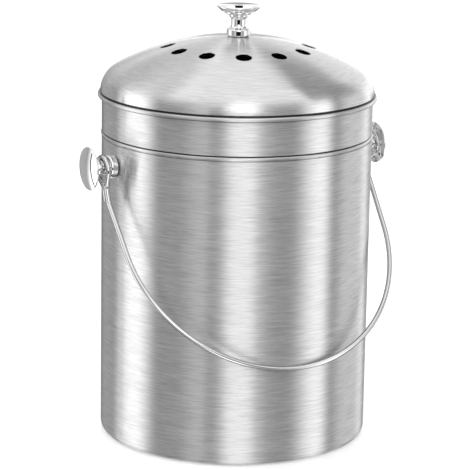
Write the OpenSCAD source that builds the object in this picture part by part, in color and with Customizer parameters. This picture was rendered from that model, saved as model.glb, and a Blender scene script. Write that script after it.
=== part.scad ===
// Stainless countertop compost caddy: drawn pail, lift-off vented lid, mushroom knob and a wire bail on two studs.
// Millimetres. The origin is the centre of the pail's base, +Z is up, X runs through the two bail studs and -Y is
// the side on which the bail rests against the pail.

/* [Pail] */
// Outer radius of the pail's wall
body_r = 90; // [70:0.5:120]
// Height of the pail to the crown of its rolled rim
pail_h = 231.4; // [200:0.2:300]
// Thickness of the stainless sheet
sheet_t = 0.6; // [0.5:0.05:0.9]
// Outer radius of the bend between floor and wall
base_bend_r = 4.5; // [2.5:0.1:8]
// Radius to the middle of the stiffening ring pressed into the floor
floor_ring_r = 58; // [40:1:64]
// Width of the stiffening ring
floor_ring_w = 7; // [5:0.5:10]
// Height of the stiffening ring
floor_ring_h = 0.9; // [0.4:0.1:1.6]

/* [Rim and bead] */
// Outer radius of the rolled rim's wire-like curl
curl_r = 1.65; // [1.4:0.05:2.4]
// Open seam left where the curl tucks in under the rim
curl_seam = 0.5; // [0.3:0.1:0.8]
// Height of the swaged bead's middle below the rim's crown
bead_drop = 27.2; // [22:0.2:32]
// Radius of the swaged bead's outer curve
bead_r = 1.46; // [1.2:0.02:2]
// How far the swaged bead stands proud of the wall
bead_proud = 0.5; // [0.3:0.05:0.9]

/* [Lid] */
// How far the lid's edge stands out beyond the pail's wall, over the rim's curl
lid_proud = 1; // [0.4:0.1:1.6]
// Height from the lid's lower edge to the top of its crown, before the knob's seat is pressed flat
lid_rise = 37.1; // [30:0.1:50]
// Outer radius of the lid's rounded shoulder
shoulder_r = 18; // [10:0.5:22]
// Radius of the flat seat under the knob
knob_seat_r = 9; // [8.5:0.1:14]
// How far the skirt reaches down below the rim's crown
skirt_depth = 17.6; // [14:0.2:22]
// Outer radius of the bend between the skirt and its flange
skirt_bend_r = 1.4; // [1:0.1:1.6]

/* [Vents] */
// Number of round vent holes
vent_count = 12; // [6:1:14]
// Radius of one vent hole
vent_r = 5.2; // [3:0.1:6]
// Radius of the circle on which the vent holes lie
vent_ring_r = 46.8; // [34:0.2:58]
// Turn of the first vent hole from +X, in degrees
vent_turn = 6; // [0:0.5:30]

/* [Knob and studs] */
// Radius of the cap of the knob and of each stud
cap_r = 14.2; // [12:0.1:17]
// Height of the cap's domed crown
crown_h = 2.0; // [1.2:0.1:3.5]
// Thickness of the cap's rounded edge
cap_edge = 1.2; // [0.8:0.1:2]
// Height of the stepped flare under the cap
flare_h = 6.0; // [4.5:0.1:8]
// Radius of the neck
neck_r = 4.85; // [4:0.05:5.5]
// Free length of the knob's neck
knob_neck = 6.6; // [4:0.1:10]
// Free length of each stud's neck, where the bail's eye turns
stud_neck = 6.0; // [5:0.1:9]
// Radius of the barrel at the foot
foot_r = 7.75; // [7.2:0.05:8.4]
// Height of the barrel at the foot
foot_h = 5.6; // [4.5:0.1:7]
// Chamfer round the end of the foot
foot_chamfer = 1.0; // [0.4:0.1:1.6]
// Radius that rounds the foot towards the neck
foot_round = 1.6; // [0.8:0.1:2]
// How far the cove between foot and neck stands out where it meets the foot
cove_w = 1.2; // [0.4:0.1:1.4]
// Height of that cove
cove_h = 3; // [1.5:0.1:4]
// Depth of the studs' axis below the rim's crown
stud_drop = 42.9; // [39:0.1:60]

/* [Bail] */
// Radius of the bail's wire
wire_r = 1.6; // [1.3:0.05:2.2]
// Reach of the bail's hoop from the kinks in its legs to the middle of its wire
hoop_reach = 129; // [112:0.5:150]
// Inward lean of each leg, in degrees
leg_lean = 2.5; // [0:0.1:3.5]
// Angle of the kink that sets each leg forward just below its eye, in degrees
kink_turn = 19; // [6:0.5:24]
// Radius of that kink
kink_r = 8; // [5:0.5:14]
// Radius of the bend where the eye closes onto the leg
eye_bend_r = 6; // [4:0.2:8]
// Angle at which the eye's sides close in, in degrees
eye_taper = 35; // [28:1:42]
// Length of the straight tail beside the leg
tail_len = 7; // [3:0.5:14]
// Chamfer on the tail's cut end
tail_chamfer = 0.4; // [0.2:0.1:0.6]

/* [Fasteners] */
// Radius of the screws' shanks
screw_r = 2.45; // [1.9:0.05:2.6]
// Radius of the screws' heads
screw_head_r = 4.6; // [3.8:0.1:5.2]
// Height of the screws' heads
screw_head_h = 2.8; // [2:0.1:3.2]
// Length of thread held in the knob and in each stud
thread_len = 9; // [6:0.5:10.5]
// Radius of the washers
washer_r = 7.2; // [6:0.1:7.6]
// Thickness of the washers
washer_t = 1.2; // [0.8:0.1:1.5]
// Width of the driver cross in a screw's head
cross_w = 1.1; // [0.8:0.1:1.4]
// Length of the driver cross in a screw's head
cross_len = 5.2; // [4:0.1:6]
// Depth of the driver cross in a screw's head
cross_d = 1.4; // [0.8:0.1:1.8]

/* [Filter] */
// Height of the filter tray
tray_h = 12; // [11.6:0.2:13]
// How far the tray sits up inside the end of the skirt
tray_inset = 1; // [0.5:0.1:2]
// Thickness of the tray's wall
tray_t = 1.6; // [1.2:0.1:2.2]
// Thickness of the tray's floor and spokes
tray_floor = 1.8; // [1.2:0.1:2.4]
// How far the tray's lip stands out from its wall to grip the lid's skirt
tray_lip = 3.5; // [3.3:0.1:5]
// Thickness of the tray's lip
tray_lip_t = 1.8; // [1.2:0.1:2.4]
// Width of the tray's ledge under the filter
tray_ledge = 7; // [5:0.5:12]
// Number of spokes
spoke_count = 8; // [4:1:12]
// Width of a spoke
spoke_w = 3.2; // [2:0.1:5]
// Radius to the middle of the tray's inner ring
grid_ring_r = 44; // [30:1:56]
// Radius of the tray's hub
hub_r = 10; // [8:0.5:16]
// Length of the pull tab under the hub
pull_w = 16; // [10:0.5:20]
// Depth of the pull tab under the hub
pull_h = 7; // [4:0.5:9]
// Thickness of the pull tab
pull_t = 2.4; // [1.6:0.1:3.6]
// Thickness of the charcoal filter
filter_t = 7.4; // [5:0.2:7.6]
// Height of the bead that keeps the filter in the tray
keeper_h = 1.2; // [0.8:0.1:1.4]
// How far that bead stands in over the filter
keeper_w = 1.0; // [0.6:0.1:1.6]

/* [Fits] */
// Gap left where one piece rests on another of a different body
seat_gap = 0.3; // [0.2:0.05:0.4]
// Gap between fixed pieces that are clamped or welded together
joint_gap = 0.05; // [0.02:0.01:0.1]
// Radial clearance between the lid's skirt and the pail's mouth
skirt_fit = 0.6; // [0.4:0.05:1]
// Radial clearance between the tray and the lid's skirt
tray_fit = 0.3; // [0.2:0.05:0.5]
// Radial clearance between the filter and its tray
filter_fit = 0.4; // [0.2:0.05:0.8]
// Radial clearance between a screw and the hole in the sheet
hole_fit = 0.35; // [0.2:0.05:0.6]
// Radial play of the bail's eye on the stud's neck
eye_play = 1.8; // [1.2:0.1:2.4]
// Side gap between the bail's eye and the stud's foot
eye_side_gap = 1.3; // [1:0.1:1.6]
// Gap between the two strands of wire side by side
strand_gap = 0.2; // [0.1:0.05:0.4]

/* [Hidden] */
$fn = 96;
// Small overlap that fuses the pieces of one solid, and small overshoot of each cut
lap = 0.02;
over = 1;
// Half length of the sleeve where two lengths of the bail's wire meet
sleeve_half = 0.25;

mouth_r = body_r - sheet_t;
curl_mid_r = mouth_r + curl_r;
curl_mid_z = pail_h - curl_r;
bead_z = pail_h - bead_drop;
stud_z = pail_h - stud_drop;

lid_r = body_r + lid_proud;
lid_edge_z = pail_h + seat_gap;
shoulder_z = lid_edge_z + seat_gap;
apex_z = lid_edge_z + lid_rise;
dome_rise = apex_z - shoulder_z;
dome_r = (pow(lid_r - shoulder_r, 2) + pow(dome_rise, 2) - pow(shoulder_r, 2)) / (2 * (dome_rise - shoulder_r));
dome_mid_z = apex_z - dome_r;
seat_z = dome_mid_z + sqrt(pow(dome_r, 2) - pow(knob_seat_r, 2));
dome_turn = atan2(shoulder_z - dome_mid_z, lid_r - shoulder_r);
vent_lean = asin(vent_ring_r / dome_r);
skirt_r = mouth_r - skirt_fit;
skirt_z = pail_h - skirt_depth;
flange_z = lid_edge_z + seat_gap + sheet_t;
flange_r = lid_r - sheet_t - joint_gap;

hole_r = screw_r + hole_fit;
thread_bore_r = screw_r + joint_gap;
knob_head_z = seat_z - sheet_t - washer_t - 2 * joint_gap;
stud_head_x = mouth_r - washer_t - 3 * joint_gap - screw_head_sag();

strand_q = wire_r + strand_gap / 2;
eye_r = neck_r + eye_play + wire_r;
eye_drop = eye_play - seat_gap;
side_len = (eye_r * cos(eye_taper) - strand_q - eye_bend_r * (1 - cos(eye_taper))) / sin(eye_taper);
eye_end = eye_drop + eye_r * sin(eye_taper) + side_len * cos(eye_taper) + eye_bend_r * sin(eye_taper);
leg_top_x = body_r + foot_h + eye_side_gap + wire_r;
arc_r = (leg_top_x * cos(leg_lean) - hoop_reach * sin(leg_lean)) / (1 - sin(leg_lean));
arc_drop = hoop_reach - arc_r;
leg_len = (arc_drop + arc_r * sin(leg_lean)) / cos(leg_lean);
kink_x = eye_end + tail_len;
kink_end_x = kink_x + kink_r * sin(kink_turn);
kink_end_y = -strand_q - kink_r * (1 - cos(kink_turn));
grip_x = kink_end_x + hoop_reach * cos(kink_turn);
grip_y = kink_end_y - hoop_reach * sin(kink_turn);
lean_out = body_r + wire_r + seat_gap;
bail_angle = asin(lean_out / norm([grip_x, grip_y])) - atan2(-grip_y, grip_x);

tray_lip_r = skirt_r - sheet_t - tray_fit;
tray_r = tray_lip_r - tray_lip;
tray_z = skirt_z + tray_inset;
filter_r = tray_r - tray_t - filter_fit;
filter_z = tray_z + tray_floor;
keeper_z = filter_z + filter_t + seat_gap;

// Depth of the pail's inner curve across a washer and a screw's head
function screw_head_sag() = mouth_r - sqrt(pow(mouth_r, 2) - pow(screw_head_r, 2));

// Quarter of a ring between two radii, from +X to +Y
module quarter_ring(r_out, r_in) {
    intersection() {
        difference() {
            circle(r_out);
            circle(r_in);
        }
        square(r_out);
    }
}

// What a corner of a square loses when it is rounded
module corner_cut(r) {
    difference() {
        translate([-r, -r]) square(r + over);
        translate([-r, -r]) circle(r);
    }
}

// Floor and wall of the pail, with the rounded bend between them
module pail_shell_profile() {
    square([body_r - base_bend_r + lap, sheet_t]);
    translate([body_r - base_bend_r, base_bend_r])
        mirror([0, 1]) quarter_ring(base_bend_r, base_bend_r - sheet_t);
    translate([mouth_r, base_bend_r - lap]) square([sheet_t, curl_mid_z - base_bend_r + lap]);
}

// Rolled curl of the rim, open at the seam where it tucks in
module curl_profile() {
    translate([curl_mid_r, curl_mid_z]) {
        difference() {
            circle(curl_r);
            circle(curl_r - sheet_t);
            rotate(-115) translate([0, -curl_seam / 2]) square([curl_r + over, curl_seam]);
        }
    }
}

// Ring pressed up into the floor, as a raised band of the same thickness
module floor_ring_band(h) {
    translate([floor_ring_r - floor_ring_w / 2, 0]) square([floor_ring_w, h]);
}

module pail_profile() {
    difference() {
        union() {
            pail_shell_profile();
            curl_profile();
            translate([body_r + bead_proud - bead_r, bead_z]) intersection() {
                circle(bead_r);
                translate([bead_r - bead_proud - sheet_t, -bead_r]) square([bead_r, 2 * bead_r]);
            }
            floor_ring_band(sheet_t + floor_ring_h);
        }
        translate([body_r + bead_proud - bead_r, bead_z]) circle(bead_r - sheet_t);
        translate([floor_ring_r - floor_ring_w / 2 + sheet_t, -over])
            square([floor_ring_w - 2 * sheet_t, floor_ring_h + over]);
    }
}

// Drawn pail with its rolled rim, its swaged bead and the two screw holes
module pail_body() {
    color("silver") difference() {
        rotate_extrude() pail_profile();
        translate([-body_r - over, 0, stud_z]) rotate([0, 90, 0]) cylinder(r = hole_r, h = 2 * (body_r + over));
    }
}

// Outline filled by the lid's crown and rounded shoulder, at a given depth under its outer surface
module crown_fill(depth) {
    flat_x = lid_r - shoulder_r;
    seat_rise = seat_z - depth - shoulder_z;
    intersection() {
        translate([0, dome_mid_z]) circle(dome_r - depth);
        translate([0, shoulder_z]) polygon([
            [0, 0],
            [flat_x, 0],
            [flat_x + shoulder_r * cos(dome_turn), shoulder_r * sin(dome_turn)],
            [flat_x + shoulder_r * cos(dome_turn), seat_rise],
            [0, seat_rise]
        ]);
    }
    translate([flat_x, shoulder_z]) intersection() {
        circle(shoulder_r - depth);
        translate([-sheet_t, 0]) square(shoulder_r + over);
    }
}

// Crown, rounded shoulder and short straight edge of the lid
module dome_profile() {
    difference() {
        crown_fill(0);
        crown_fill(sheet_t);
    }
    translate([lid_r - sheet_t, lid_edge_z]) square([sheet_t, shoulder_z - lid_edge_z]);
}

// Spun dome of the lid with its vent holes and the hole for the knob's screw
module lid_dome() {
    color("silver") difference() {
        rotate_extrude() dome_profile();
        for (k = [0 : vent_count - 1]) rotate([0, 0, vent_turn + k * 360 / vent_count])
            translate([0, 0, dome_mid_z]) rotate([0, vent_lean, 0])
                translate([0, 0, dome_r - sheet_t - 2 * over]) cylinder(r = vent_r, h = sheet_t + 4 * over);
        translate([0, 0, seat_z - sheet_t - over]) cylinder(r = hole_r, h = sheet_t + 2 * over);
    }
}

// Ring welded inside the dome: a flange at the top and a skirt that drops into the pail's mouth
module lid_skirt() {
    color("gainsboro") rotate_extrude() {
        translate([skirt_r - sheet_t, skirt_z])
            square([sheet_t, flange_z - skirt_bend_r - skirt_z + lap]);
        translate([skirt_r - sheet_t + skirt_bend_r, flange_z - skirt_bend_r])
            mirror([1, 0]) quarter_ring(skirt_bend_r, skirt_bend_r - sheet_t);
        translate([skirt_r - sheet_t + skirt_bend_r - lap, flange_z - sheet_t])
            square([flange_r - skirt_r + sheet_t - skirt_bend_r + lap, sheet_t]);
    }
}

// Turned outline shared by the knob and the studs: foot, cove, neck, stepped flare and domed cap
module mushroom_profile(neck_len) {
    cap_z = foot_h + neck_len + flare_h;
    step_1 = 0.15;
    step_2 = 0.5;
    lip = 0.1;
    span = cap_r - cap_edge / 2 - neck_r;
    crown_r = (pow(cap_r - cap_edge / 2, 2) + pow(crown_h, 2)) / (2 * crown_h);
    cove_r = (pow(cove_w, 2) + pow(cove_h, 2)) / (2 * cove_w);
    difference() {
        square([foot_r, foot_h]);
        translate([foot_r, foot_h]) corner_cut(foot_round);
        translate([foot_r, 0]) rotate(45) square([foot_chamfer * sqrt(2), foot_chamfer * sqrt(2)], center = true);
    }
    difference() {
        translate([0, foot_h - lap]) square([neck_r + cove_w, cove_h + lap]);
        translate([neck_r + cove_r - lap, foot_h + cove_h]) circle(cove_r);
    }
    square([neck_r, cap_z]);
    polygon([
        [0, foot_h + neck_len],
        [neck_r, foot_h + neck_len],
        [neck_r + span * step_1, foot_h + neck_len + flare_h * 0.2],
        [neck_r + span * step_1, foot_h + neck_len + flare_h * (0.2 + lip)],
        [neck_r + span * step_2, foot_h + neck_len + flare_h * 0.58],
        [neck_r + span * step_2, foot_h + neck_len + flare_h * (0.58 + lip)],
        [cap_r - cap_edge / 2, cap_z],
        [0, cap_z]
    ]);
    translate([0, cap_z]) square([cap_r - cap_edge / 2, cap_edge]);
    translate([cap_r - cap_edge / 2, cap_z + cap_edge / 2]) circle(cap_edge / 2);
    intersection() {
        translate([0, cap_z + cap_edge + crown_h - crown_r]) circle(crown_r);
        translate([0, cap_z]) square([cap_r, cap_edge + crown_h + over]);
    }
}

module mushroom(neck_len) {
    difference() {
        rotate_extrude() mushroom_profile(neck_len);
        translate([0, 0, -over]) cylinder(r = thread_bore_r, h = thread_len + 2 * over);
    }
}

// Turned knob on the lid
module lid_knob() {
    color("lightgray") translate([0, 0, seat_z]) mushroom(knob_neck);
}

// Stud on the -X or +X side of the pail, its flat foot relieved only where it meets the pail's curve
module stud(side) {
    color("lightgray") difference() {
        translate([side * body_r, 0, stud_z]) rotate([0, side * 90, 0]) {
            mushroom(stud_neck);
        }
        cylinder(r = body_r + joint_gap, h = pail_h);
    }
}

// Pan-head screw, its head's inner face at the origin and its shank along +Z
module pan_screw(shank_len) {
    difference() {
        union() {
            rotate_extrude() difference() {
                translate([0, -screw_head_h]) square([screw_head_r, screw_head_h]);
                translate([screw_head_r, -screw_head_h]) mirror([0, 1]) corner_cut(screw_head_h / 2);
            }
            translate([0, 0, -lap]) cylinder(r = screw_r, h = shank_len + lap);
        }
        for (a = [0, 90]) rotate([0, 0, a])
            translate([-cross_len / 2, -cross_w / 2, -screw_head_h - over]) cube([cross_len, cross_w, cross_d + over]);
    }
}

module knob_screw() {
    color("darkgray") translate([0, 0, knob_head_z])
        pan_screw(seat_z - knob_head_z + thread_len);
}

module knob_washer() {
    color("gray") translate([0, 0, seat_z - sheet_t - washer_t - joint_gap]) difference() {
        cylinder(r = washer_r, h = washer_t);
        translate([0, 0, -over]) cylinder(r = hole_r, h = washer_t + 2 * over);
    }
}

module stud_screw(side) {
    color("darkgray") translate([side * stud_head_x, 0, stud_z]) rotate([0, side * 90, 0])
        pan_screw(body_r - stud_head_x + thread_len);
}

// Rubber washer that seals the screw hole and follows the pail's inner curve
module stud_washer(side) {
    color("dimgray") intersection() {
        difference() {
            cylinder(r = mouth_r - joint_gap, h = pail_h);
            translate([0, 0, -over]) cylinder(r = mouth_r - joint_gap - washer_t, h = pail_h + 2 * over);
        }
        translate([0, 0, stud_z]) rotate([0, side * 90, 0]) difference() {
            cylinder(r = washer_r, h = body_r);
            translate([0, 0, -over]) cylinder(r = hole_r, h = body_r + 2 * over);
        }
    }
}

// Straight length of the bail's wire along +X from the origin
module wire(len) {
    translate([lap, 0, 0]) rotate([0, 90, 0]) cylinder(r = wire_r, h = len - 2 * lap);
}

// Hair-thin sleeve along X that fuses the two lengths of wire that meet at the origin
module wire_sleeve() {
    rotate([0, 90, 0]) cylinder(r = wire_r + 2 * lap, h = 2 * sleeve_half, center = true);
}

// Bent length of the bail's wire in the XY plane, round the origin
module wire_bend(bend_r, from, turn) {
    rotate([0, 0, from]) rotate_extrude(angle = turn) translate([bend_r, 0]) circle(wire_r);
}

// Teardrop eye of one side with its tail and its leg down to the kink, along +X from the stud's axis at the origin
module bail_end() {
    translate([eye_drop, 0, 0]) wire_bend(eye_r, 90 - eye_taper, 180 + 2 * eye_taper);
    for (side = [-1, 1]) {
        translate([eye_drop + eye_r * sin(eye_taper), side * eye_r * cos(eye_taper), 0])
            rotate([0, 0, -side * eye_taper]) {
                wire_sleeve();
                wire(side_len);
                translate([side_len, 0, 0]) wire_sleeve();
            }
        translate([eye_end, side * (strand_q + eye_bend_r), 0])
            wire_bend(eye_bend_r, side > 0 ? 270 - eye_taper : 90, eye_taper);
        translate([eye_end, side * strand_q, 0]) wire_sleeve();
    }
    translate([eye_end, -strand_q, 0]) wire(tail_len);
    translate([kink_x, -strand_q, 0]) wire_sleeve();
    translate([kink_x, -strand_q - kink_r, 0]) wire_bend(kink_r, 90 - kink_turn, kink_turn);
    translate([eye_end, strand_q, 0]) {
        wire(tail_len - tail_chamfer);
        translate([tail_len - tail_chamfer - 2 * lap, 0, 0]) rotate([0, 90, 0])
            cylinder(r1 = wire_r, r2 = wire_r - tail_chamfer, h = tail_chamfer);
    }
}

// Flat hoop below the kinks, hanging straight down: two leaning legs and the arc between them
module bail_hoop() {
    translate([0, 0, -arc_drop]) rotate([90, 0, 0]) wire_bend(arc_r, 180 + leg_lean, 180 - 2 * leg_lean);
    for (side = [-1, 1]) translate([side * leg_top_x, 0, 0]) {
        rotate([0, 90, 0]) wire_sleeve();
        rotate([0, side * leg_lean, 0]) rotate([0, 90, 0]) {
            wire(leg_len);
            translate([leg_len, 0, 0]) wire_sleeve();
        }
    }
}

// Bail of one bent wire, its eyes hanging straight down from the studs' axis
module hanging_bail() {
    for (side = [-1, 1]) translate([side * leg_top_x, 0, 0]) rotate([0, 90, 0]) bail_end();
    translate([0, kink_end_y, -kink_end_x]) rotate([-kink_turn, 0, 0]) bail_hoop();
}

// The bail at rest, swung forward until it leans on the pail's wall
module bail_handle() {
    color("lightgray") translate([0, 0, stud_z]) rotate([-bail_angle, 0, 0]) hanging_bail();
}

// Push-in tray under the lid: a lip that grips the skirt, an open spoked floor, a keeper bead and a pull tab
module filter_tray() {
    color("#2b2b2b") translate([0, 0, tray_z]) {
        rotate_extrude() {
            translate([tray_r - tray_t, 0]) square([tray_t, tray_h]);
            translate([tray_r - lap, tray_h - tray_lip_t]) square([tray_lip + lap, tray_lip_t]);
            translate([tray_r - tray_t - tray_ledge, 0]) square([tray_t + tray_ledge, tray_floor]);
            translate([tray_r - tray_t - keeper_w, keeper_z - tray_z]) square([keeper_w + lap, keeper_h]);
        }
        rotate_extrude() translate([grid_ring_r - spoke_w / 2, 0]) square([spoke_w, tray_floor]);
        cylinder(r = hub_r, h = tray_floor);
        for (k = [0 : spoke_count - 1]) rotate([0, 0, (k + 0.5) * 360 / spoke_count])
            translate([hub_r / 2, -spoke_w / 2, 0]) cube([tray_r - tray_t - tray_ledge / 2 - hub_r / 2, spoke_w, tray_floor]);
        translate([-pull_w / 2, -pull_t / 2, -pull_h]) cube([pull_w, pull_t, pull_h + lap]);
    }
}

// Disc of charcoal felt that lies in the tray
module charcoal_filter() {
    color("#1c1c1c") translate([0, 0, filter_z]) cylinder(r = filter_r, h = filter_t);
}

pail_body();
lid_dome();
lid_skirt();
lid_knob();
knob_screw();
knob_washer();
stud(-1);  // left_stud
stud(1);  // right_stud
stud_screw(-1);  // left_stud_screw
stud_screw(1);  // right_stud_screw
stud_washer(-1);  // left_stud_washer
stud_washer(1);  // right_stud_washer
bail_handle();
filter_tray();
charcoal_filter();
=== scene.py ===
"""Looks for the stainless compost caddy: brushed pail and dome, chrome knob, studs and bail, tray and filter."""

import math

import bmesh
import bpy
import numpy as np
from mathutils import Matrix, Vector


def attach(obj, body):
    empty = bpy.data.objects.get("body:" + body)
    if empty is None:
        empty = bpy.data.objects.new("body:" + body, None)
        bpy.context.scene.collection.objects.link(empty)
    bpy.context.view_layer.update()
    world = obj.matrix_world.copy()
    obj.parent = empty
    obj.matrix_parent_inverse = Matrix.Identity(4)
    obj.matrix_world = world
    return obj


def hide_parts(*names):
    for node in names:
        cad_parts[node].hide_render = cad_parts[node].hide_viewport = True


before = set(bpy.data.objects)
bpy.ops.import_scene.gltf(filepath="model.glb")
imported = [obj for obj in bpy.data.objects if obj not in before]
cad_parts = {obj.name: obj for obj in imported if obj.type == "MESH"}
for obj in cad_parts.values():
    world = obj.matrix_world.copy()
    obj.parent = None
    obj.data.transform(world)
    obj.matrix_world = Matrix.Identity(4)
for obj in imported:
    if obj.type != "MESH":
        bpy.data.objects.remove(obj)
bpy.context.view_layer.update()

MM = 0.001

# Sizes repeated from the part, in millimetres
BODY_R, PAIL_H, SHEET = 90.0, 231.4, 0.6
BASE_BEND, RING_R, RING_W, RING_H = 4.5, 58.0, 7.0, 0.9
MOUTH_R = BODY_R - SHEET
CURL_R = 1.65
CURL_X, CURL_Z = MOUTH_R + CURL_R, PAIL_H - CURL_R
BEAD_Z, BEAD_R, BEAD_PROUD = PAIL_H - 27.2, 1.46, 0.5
GAP, CLAMP = 0.3, 0.05
LID_R, LID_RISE, SHOULDER_R, SEAT_R = 91.0, 37.1, 18.0, 9.0
LID_Z = PAIL_H + GAP
SHOULDER_Z = LID_Z + GAP
APEX_Z = LID_Z + LID_RISE
RISE = APEX_Z - SHOULDER_Z
SHOULDER_X = LID_R - SHOULDER_R
DOME_R = (SHOULDER_X ** 2 + RISE ** 2 - SHOULDER_R ** 2) / (2 * (RISE - SHOULDER_R))
DOME_Z = APEX_Z - DOME_R
SEAT_Z = DOME_Z + math.sqrt(DOME_R ** 2 - SEAT_R ** 2)
DOME_TURN = math.atan2(SHOULDER_Z - DOME_Z, SHOULDER_X)
VENTS, VENT_R, VENT_RING, VENT_TURN = 12, 5.2, 46.8, 6.0
SKIRT_R, SKIRT_BEND = MOUTH_R - 0.6, 1.4
SKIRT_Z, FLANGE_Z, FLANGE_R = PAIL_H - 17.6, LID_Z + GAP + SHEET, LID_R - SHEET - CLAMP
CAP_R, CROWN_H, CAP_EDGE, FLARE_H, NECK_R = 14.2, 2.0, 1.2, 6.0, 4.85
FOOT_R, FOOT_H, FOOT_CHAMFER, FOOT_ROUND = 7.75, 5.6, 1.0, 1.6
COVE_W, COVE_H = 1.2, 3.0
KNOB_LIFT = 1.0
KNOB_NECK, STUD_NECK, STUD_Z = 6.6, 6.0, 188.5
THREAD_R, THREAD_L = 2.5, 9.0
WIRE_R, HOOP_REACH, LEG_LEAN = 1.6, 129.0, math.radians(2.5)
KINK, KINK_R, EYE_SIDE = math.radians(19), 8.0, 1.3
EYE_BEND, EYE_TAPER, TAIL_L = 6.0, math.radians(35), 7.0
STRAND = WIRE_R + 0.1
EYE_R, EYE_DROP = NECK_R + 1.8 + WIRE_R, 1.8 - GAP
TRAY_H, TRAY_T, TRAY_FLOOR = 12.0, 1.6, 1.8
TRAY_LIP, TRAY_LIP_T, TRAY_LEDGE = 3.5, 1.8, 7.0
TRAY_R = SKIRT_R - SHEET - 0.3 - TRAY_LIP
TRAY_Z = SKIRT_Z + 1.0
SPOKES, SPOKE_W, GRID_R, HUB_R = 8, 3.2, 44.0, 10.0
PULL_W, PULL_H, PULL_T, PULL_ROUND = 16.0, 7.0, 2.4, 2.5
RIBS, RIB_STEP, RIB_HALF, RIB_T = 3, 1.5, 5.5, 0.22
FILTER_R, FILTER_T = TRAY_R - TRAY_T - 0.4, 7.4
FILTER_Z = TRAY_Z + TRAY_FLOOR
KEEPER_Z, KEEPER_H, KEEPER_W = FILTER_Z + FILTER_T + GAP, 1.2, 1.0

# Facets round each piece
PAIL_SEG, SKIRT_SEG, TURNED_SEG, WIRE_SEG = 288, 256, 128, 28
TRAY_SEG, GRID_SEG, HUB_SEG, PAD_SEG = 192, 144, 64, 200

# Vents: the band of the dome that holds them, the roll of their edges, and how their tiles are divided
VENT_BAND_IN, VENT_BAND_OUT, VENT_ROLL = 39.5, 54.1, 0.35
VENT_SEG, VENT_ROWS, VENT_STEPS, VENT_CROWD, ROLL_STEPS = 24, 20, 7, 1.35, 6

# Other small forms: bends of the floor ring, gap round a screw, lower edge of the dome, groove over the bead
RING_SOFT, SCREW_GAP, LIP_H, GROOVE = 1.1, 0.3, 0.2, 0.34

# Painted shade: dark lines painted into the brushed steel's colour at its creases and gaps, where shade falls:
# height, half width, depth
PAIL_PAINTED_SHADE = [(BEAD_Z + 1.55, 0.5, 0.92), (BEAD_Z - 1.5, 0.3, 0.6),
              (PAIL_H - 3.2, 0.4, 0.8), (PAIL_H - 0.1, 0.25, 0.85)]
DOME_PAINTED_SHADE = [(LID_Z + LIP_H, 0.5, 0.9)]

# The photograph's camera, fitted to the rim, the bead and the base
CAM_PLACE = (-0.7158, -1.3182, 0.5026)
CAM_AHEAD = (0.4772, 0.8788)
CAM_PITCH, CAM_ROLL, CAM_LENS, CAM_SENSOR = 13.83, 1.0, 175.5, 36.0
CAM_NEAR, CAM_FAR = 0.05, 50.0


# Shapes

def arc(cx, cz, r, a0, a1, n):
    """Points on an arc, angles in degrees, both ends included."""
    return [(cx + r * math.cos(math.radians(a0 + (a1 - a0) * i / n)),
             cz + r * math.sin(math.radians(a0 + (a1 - a0) * i / n))) for i in range(n + 1)]


def tidy(points, least=0.004):
    """Drops the points of a profile that all but repeat the one before."""
    out = [points[0]]
    for p in points[1:]:
        if math.hypot(p[0] - out[-1][0], p[1] - out[-1][1]) > least:
            out.append(p)
    return out


def finish_mesh(name, bm, body, mat, node, sharp=40.0):
    """Turns a bmesh in millimetres into a smooth-shaded piece that rides on a body and replaces a node."""
    bmesh.ops.remove_doubles(bm, verts=bm.verts, dist=0.0015)
    bmesh.ops.recalc_face_normals(bm, faces=bm.faces)
    for v in bm.verts:
        v.co *= MM
    mesh = bpy.data.meshes.new(name)
    bm.to_mesh(mesh)
    bm.free()
    mesh.shade_smooth()
    mesh.set_sharp_from_angle(angle=math.radians(sharp))
    piece = bpy.data.objects.new(name, mesh)
    bpy.context.scene.collection.objects.link(piece)
    mesh.materials.append(mat)
    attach(piece, body)
    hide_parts(node)
    return piece


def bridge(bm, a, b):
    """Faces between two rings of vertices; a ring that is one vertex over and over gives triangles."""
    n = len(a)
    for k in range(n):
        corners = []
        for v in (a[k], a[(k + 1) % n], b[(k + 1) % n], b[k]):
            if v not in corners:
                corners.append(v)
        if len(corners) > 2:
            bm.faces.new(corners)


def stack(bm, rings, ends=True):
    """Faces between rings in a row, with both ends closed if asked."""
    for a, b in zip(rings, rings[1:]):
        bridge(bm, a, b)
    if ends:
        bm.faces.new(list(reversed(rings[0])))
        bm.faces.new(rings[-1])


def spin(bm, profile, seg, place=Matrix.Identity(4), closed=True):
    """Revolves a profile of (r, z) points round the local Z axis. A closed profile doesn't touch the axis."""
    rings = []
    for r, z in profile:
        if r < 1e-6:
            rings.append([bm.verts.new(place @ Vector((0, 0, z)))] * seg)
        else:
            rings.append([bm.verts.new(place @ Vector((r * math.cos(2 * math.pi * k / seg),
                                                       r * math.sin(2 * math.pi * k / seg), z)))
                          for k in range(seg)])
    n = len(rings)
    for i in range(n if closed else n - 1):
        bridge(bm, rings[i], rings[(i + 1) % n])


def sweep(bm, path, radii, sides):
    """Sweeps a round section along a path without twist, and closes both ends."""
    pts = [Vector(p) for p in path]
    n = len(pts)
    tangents = [(pts[min(i + 1, n - 1)] - pts[max(i - 1, 0)]).normalized() for i in range(n)]
    side = tangents[0].orthogonal().normalized()
    rings = []
    for i in range(n):
        side = (side - tangents[i] * side.dot(tangents[i])).normalized()
        other = tangents[i].cross(side)
        rings.append([bm.verts.new(pts[i] + radii[i] * (side * math.cos(2 * math.pi * k / sides)
                                                        + other * math.sin(2 * math.pi * k / sides)))
                      for k in range(sides)])
    stack(bm, rings)


def take(bm, other):
    """Adds another bmesh to this one as its own shell."""
    made = {v: bm.verts.new(v.co) for v in other.verts}
    for f in other.faces:
        bm.faces.new([made[v] for v in f.verts])
    other.free()


# Materials

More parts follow.
